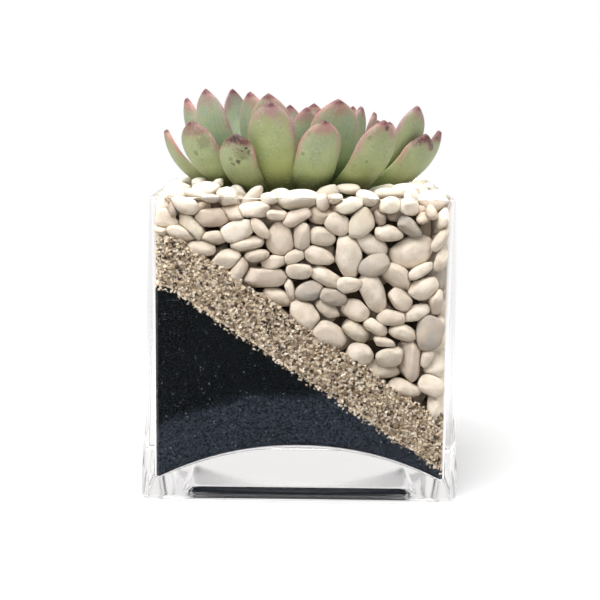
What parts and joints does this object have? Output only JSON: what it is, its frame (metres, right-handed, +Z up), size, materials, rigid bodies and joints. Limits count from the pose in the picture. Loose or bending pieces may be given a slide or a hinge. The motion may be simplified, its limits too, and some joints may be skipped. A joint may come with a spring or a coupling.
{
  "type": "glass plant terrarium",
  "caption": "Cube vase of thick clear glass filled with sloped black and tan sand and pale pebbles, with a rosette succulent planted on top.",
  "frame": {"origin": "middle of the vase's foot, on the surface it stands on", "axes": "+Z up; -Y is the front face, where the sand slopes down from left to right; +X is to the right seen from the front"},
  "size_m": [0.127, 0.127, 0.164],
  "materials": {
    "clear_glass": "polished",
    "black_sand": "matte",
    "tan_sand": "matte",
    "pebbles": "satin",
    "potting_soil": "matte",
    "succulent": "satin"
  },
  "bodies": {
    "root": {"glass_vase": "clear_glass", "black_sand": "black_sand", "tan_sand": "tan_sand", "pebble_bed": "pebbles", "root_ball": "potting_soil", "rosette": "succulent"}
  },
  "joints": []
}
